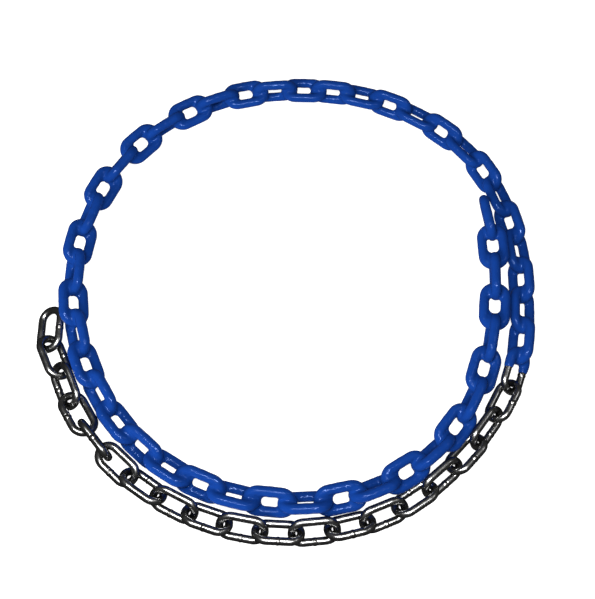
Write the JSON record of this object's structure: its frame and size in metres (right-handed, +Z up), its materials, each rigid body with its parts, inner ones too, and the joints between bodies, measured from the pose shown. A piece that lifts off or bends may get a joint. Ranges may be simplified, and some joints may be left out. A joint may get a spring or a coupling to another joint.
{
  "type": "link chain",
  "caption": "Length of welded steel link chain, bare at one end and dipped in thick blue coat over the rest, laid down in an open ring that overlaps itself.",
  "frame": {"origin": "middle of the ring's bounding box in plan, at the level of the floor it lies on", "axes": "+Z up; seen from above with +Y away, the bare end link is at the left and the bare stretch runs round the near side"},
  "size_m": [0.365, 0.3728, 0.0293],
  "materials": {
    "blue_coat": "gloss",
    "bare_steel": "polished"
  },
  "bodies": {
    "root": {"bare_link_01": "bare_steel", "bare_link_02": "bare_steel", "bare_link_03": "bare_steel", "bare_link_04": "bare_steel", "bare_link_05": "bare_steel", "bare_link_06": "bare_steel", "bare_link_07": "bare_steel", "bare_link_08": "bare_steel", "bare_link_09": "bare_steel", "bare_link_10": "bare_steel", "bare_link_11": "bare_steel", "bare_link_12": "bare_steel", "bare_link_13": "bare_steel", "bare_link_14": "bare_steel", "bare_link_15": "bare_steel", "bare_link_16": "bare_steel", "bare_link_17": "bare_steel", "bare_link_18": "bare_steel", "bare_link_19": "bare_steel", "coat_end": "blue_coat", "coated_links_01_02": "blue_coat", "coated_links_03_04": "blue_coat", "coated_links_05_06": "blue_coat", "coated_links_07_08": "blue_coat", "coated_links_09_10": "blue_coat", "coated_links_11_12": "blue_coat", "coated_links_13_14": "blue_coat", "coated_links_15_16": "blue_coat", "coated_links_17_18": "blue_coat", "coated_links_19_20": "blue_coat", "coated_links_21_22": "blue_coat", "coated_links_23_24": "blue_coat", "coated_links_25_26": "blue_coat", "coated_links_27_28": "blue_coat", "coated_links_29_30": "blue_coat", "coated_links_31_32": "blue_coat", "coated_links_33_34": "blue_coat", "coated_links_35_36": "blue_coat", "coated_links_37_38": "blue_coat", "coated_links_39_40": "blue_coat", "coated_links_41_42": "blue_coat", "coated_links_43_44": "blue_coat", "coated_links_45_46": "blue_coat", "coated_links_47_48": "blue_coat", "half_dipped_link": "bare_steel"}
  },
  "joints": []
}
